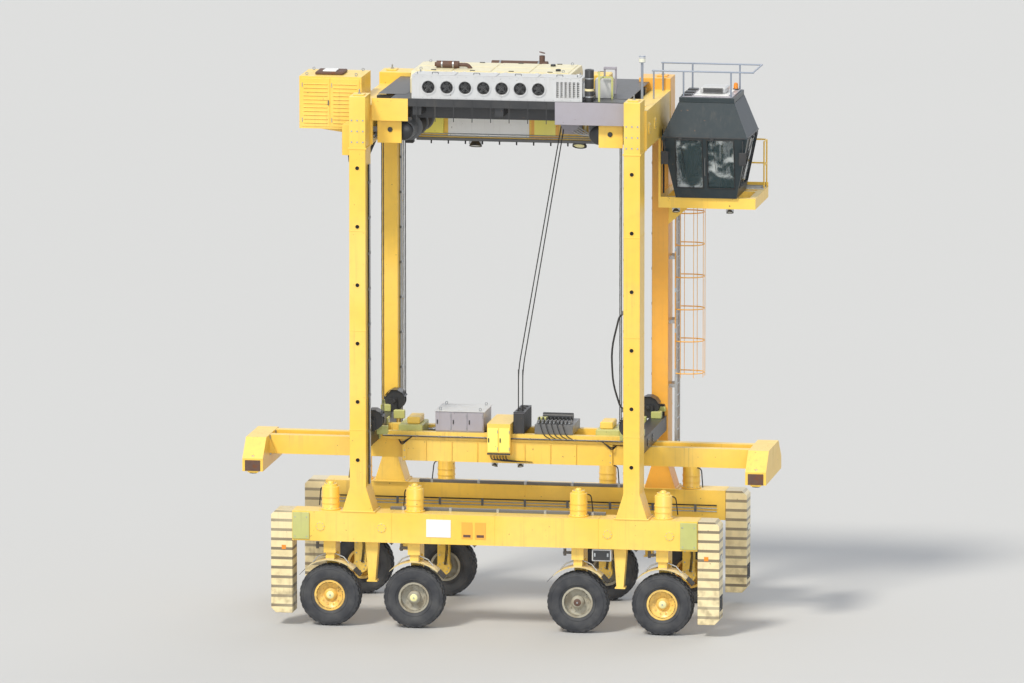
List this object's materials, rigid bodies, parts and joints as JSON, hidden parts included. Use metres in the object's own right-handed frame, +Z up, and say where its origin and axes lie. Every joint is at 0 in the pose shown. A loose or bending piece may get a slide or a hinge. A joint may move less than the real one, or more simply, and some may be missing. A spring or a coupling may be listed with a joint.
{
  "type": "straddle carrier",
  "caption": "Tall port carrier on steered wheels that straddles a freight container and lifts it with a telescopic spreader hung between portal columns.",
  "frame": {"origin": "on the ground under the middle of the machine", "axes": "+X forward (cab end), +Y to the cab side, +Z up"},
  "size_m": [12.186, 4.9, 13.1799],
  "materials": {
    "yellow_paint": "gloss",
    "grey_wheel_paint": "satin",
    "striped_paint": "satin",
    "pale_yellow_paint": "satin",
    "light_grey_paint": "satin",
    "black_paint": "satin",
    "machine_grey_paint": "satin",
    "rust_brown_paint": "matte",
    "blue_grey_paint": "satin",
    "tinted_glass": "gloss",
    "seat_fabric": "matte",
    "console_plastic": "matte",
    "rope_steel": "greased",
    "tyre_rubber": "matte"
  },
  "bodies": {
    "chassis": {"side_beam_right": "yellow_paint", "side_beam_left": "yellow_paint", "suspension_pots": "yellow_paint", "column_front_right": "yellow_paint", "column_front_left": "yellow_paint", "column_rear_right": "yellow_paint", "column_rear_left": "yellow_paint", "crossbeam_front": "yellow_paint", "crossbeam_rear": "yellow_paint", "top_girder": "yellow_paint", "rear_cabinet": "yellow_paint", "cab_platform": "yellow_paint", "bumpers": "striped_paint", "engine_hood": "pale_yellow_paint", "port_housing": "light_grey_paint", "cab_roof": "light_grey_paint", "deck": "black_paint", "air_cleaner": "black_paint", "cab_body": "black_paint", "engine": "machine_grey_paint", "hoist_gear": "machine_grey_paint", "ladder": "machine_grey_paint", "exhaust": "rust_brown_paint", "handrails": "blue_grey_paint", "cab_windows": "tinted_glass", "cab_seat": "seat_fabric", "cab_console": "console_plastic", "hoist_ropes": "rope_steel"},
    "lifting_gear": {"lift_frame": "black_paint", "lift_boxes": "light_grey_paint", "spreader_frame": "yellow_paint"},
    "arm_front": {"spreader_arm_front": "yellow_paint"},
    "arm_rear": {"spreader_arm_rear": "yellow_paint"},
    "door": {"cab_door": "black_paint"},
    "steering_r1": {"knuckle_r1": "yellow_paint"},
    "wheel_r1": {"wheel_r1": "yellow_paint", "tyre_r1": "tyre_rubber"},
    "steering_l1": {"knuckle_l1": "yellow_paint"},
    "wheel_l1": {"wheel_l1": "yellow_paint", "tyre_l1": "tyre_rubber"},
    "steering_r2": {"knuckle_r2": "yellow_paint"},
    "wheel_r2": {"wheel_r2": "grey_wheel_paint", "tyre_r2": "tyre_rubber"},
    "steering_l2": {"knuckle_l2": "yellow_paint"},
    "wheel_l2": {"wheel_l2": "grey_wheel_paint", "tyre_l2": "tyre_rubber"},
    "steering_r3": {"knuckle_r3": "yellow_paint"},
    "wheel_r3": {"wheel_r3": "grey_wheel_paint", "tyre_r3": "tyre_rubber"},
    "steering_l3": {"knuckle_l3": "yellow_paint"},
    "wheel_l3": {"wheel_l3": "grey_wheel_paint", "tyre_l3": "tyre_rubber"},
    "steering_r4": {"knuckle_r4": "yellow_paint"},
    "wheel_r4": {"wheel_r4": "yellow_paint", "tyre_r4": "tyre_rubber"},
    "steering_l4": {"knuckle_l4": "yellow_paint"},
    "wheel_l4": {"wheel_l4": "yellow_paint", "tyre_l4": "tyre_rubber"}
  },
  "joints": [
    {"name": "hoist", "type": "slide", "parent": "chassis", "child": "lifting_gear", "axis": [0, 0, 1], "range_m": [-0.7, 5.3], "deforming": ["hoist_ropes"]},
    {"name": "telescope_front", "type": "slide", "parent": "lifting_gear", "child": "arm_front", "axis": [1, 0, 0], "range_m": [-2.926, 0.76]},
    {"name": "telescope_rear", "type": "slide", "parent": "lifting_gear", "child": "arm_rear", "axis": [-1, 0, 0], "range_m": [-2.926, 0.76]},
    {"name": "cab_door_slide", "type": "slide", "parent": "chassis", "child": "door", "axis": [1, 0, 0], "range_m": [0, 0.68]},
    {"name": "steer_r1", "type": "hinge", "parent": "chassis", "child": "steering_r1", "pos_m": [3.86, -2.12, 1.8], "axis": [0, 0, 1], "range_deg": [-35, 35]},
    {"name": "roll_r1", "type": "hinge", "parent": "steering_r1", "child": "wheel_r1", "pos_m": [3.86, -2.12, 0.71], "axis": [0, 1, 0], "continuous": true},
    {"name": "steer_l1", "type": "hinge", "parent": "chassis", "child": "steering_l1", "pos_m": [3.86, 2.12, 1.8], "axis": [0, 0, 1], "range_deg": [-35, 35]},
    {"name": "roll_l1", "type": "hinge", "parent": "steering_l1", "child": "wheel_l1", "pos_m": [3.86, 2.12, 0.71], "axis": [0, 1, 0], "continuous": true},
    {"name": "steer_r2", "type": "hinge", "parent": "chassis", "child": "steering_r2", "pos_m": [1.9, -2.12, 1.8], "axis": [0, 0, 1], "range_deg": [-17.5, 17.5]},
    {"name": "roll_r2", "type": "hinge", "parent": "steering_r2", "child": "wheel_r2", "pos_m": [1.9, -2.12, 0.71], "axis": [0, 1, 0], "continuous": true},
    {"name": "steer_l2", "type": "hinge", "parent": "chassis", "child": "steering_l2", "pos_m": [1.9, 2.12, 1.8], "axis": [0, 0, 1], "range_deg": [-17.5, 17.5]},
    {"name": "roll_l2", "type": "hinge", "parent": "steering_l2", "child": "wheel_l2", "pos_m": [1.9, 2.12, 0.71], "axis": [0, 1, 0], "continuous": true},
    {"name": "steer_r3", "type": "hinge", "parent": "chassis", "child": "steering_r3", "pos_m": [-1.9, -2.12, 1.8], "axis": [0, 0, 1], "range_deg": [-17.5, 17.5]},
    {"name": "roll_r3", "type": "hinge", "parent": "steering_r3", "child": "wheel_r3", "pos_m": [-1.9, -2.12, 0.71], "axis": [0, 1, 0], "continuous": true},
    {"name": "steer_l3", "type": "hinge", "parent": "chassis", "child": "steering_l3", "pos_m": [-1.9, 2.12, 1.8], "axis": [0, 0, 1], "range_deg": [-17.5, 17.5]},
    {"name": "roll_l3", "type": "hinge", "parent": "steering_l3", "child": "wheel_l3", "pos_m": [-1.9, 2.12, 0.71], "axis": [0, 1, 0], "continuous": true},
    {"name": "steer_r4", "type": "hinge", "parent": "chassis", "child": "steering_r4", "pos_m": [-3.86, -2.12, 1.8], "axis": [0, 0, 1], "range_deg": [-35, 35]},
    {"name": "roll_r4", "type": "hinge", "parent": "steering_r4", "child": "wheel_r4", "pos_m": [-3.86, -2.12, 0.71], "axis": [0, 1, 0], "continuous": true},
    {"name": "steer_l4", "type": "hinge", "parent": "chassis", "child": "steering_l4", "pos_m": [-3.86, 2.12, 1.8], "axis": [0, 0, 1], "range_deg": [-35, 35]},
    {"name": "roll_l4", "type": "hinge", "parent": "steering_l4", "child": "wheel_l4", "pos_m": [-3.86, 2.12, 0.71], "axis": [0, 1, 0], "continuous": true}
  ],
  "couplings": [
    {"joint": "telescope_rear", "follows": "telescope_front", "ratio": 1},
    {"joint": "steer_l1", "follows": "steer_r1", "ratio": 1},
    {"joint": "steer_r2", "follows": "steer_r1", "ratio": 0.49},
    {"joint": "steer_l2", "follows": "steer_r1", "ratio": 0.49},
    {"joint": "steer_r3", "follows": "steer_r1", "ratio": -0.49},
    {"joint": "steer_l3", "follows": "steer_r1", "ratio": -0.49},
    {"joint": "steer_r4", "follows": "steer_r1", "ratio": -1},
    {"joint": "steer_l4", "follows": "steer_r1", "ratio": -1}
  ]
}
